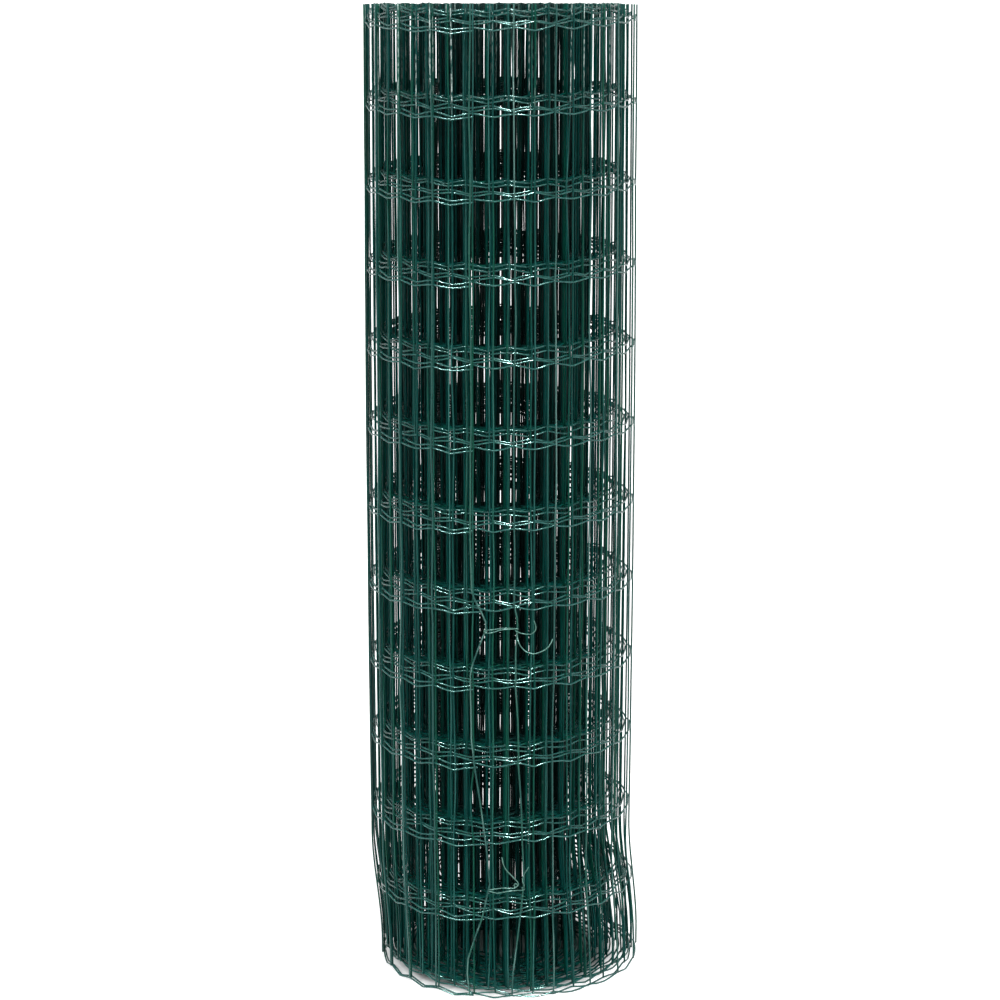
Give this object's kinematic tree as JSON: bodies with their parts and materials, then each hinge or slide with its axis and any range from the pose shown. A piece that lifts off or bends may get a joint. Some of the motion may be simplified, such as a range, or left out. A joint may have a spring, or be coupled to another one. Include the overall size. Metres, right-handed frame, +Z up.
{
  "type": "roll of wire fencing",
  "caption": "Upright roll of green plastic-coated welded wire mesh with crimped line wires and an open bore, its free end held shut by thin tie wires.",
  "frame": {"origin": "middle of the bore on the floor, at the roll's lower end", "axes": "+Z up along the bore; the free end of the mesh and its ties face -Y"},
  "size_m": [0.3334, 0.3342, 1.208],
  "materials": {
    "coated_wire": "dark green plastic coating, satin",
    "tie_wire": "pale green plastic coating, satin"
  },
  "bodies": {
    "root": {"fencing_roll": "coated_wire", "upper_tie_wire": "tie_wire", "lower_tie_wire": "tie_wire"}
  },
  "joints": []
}
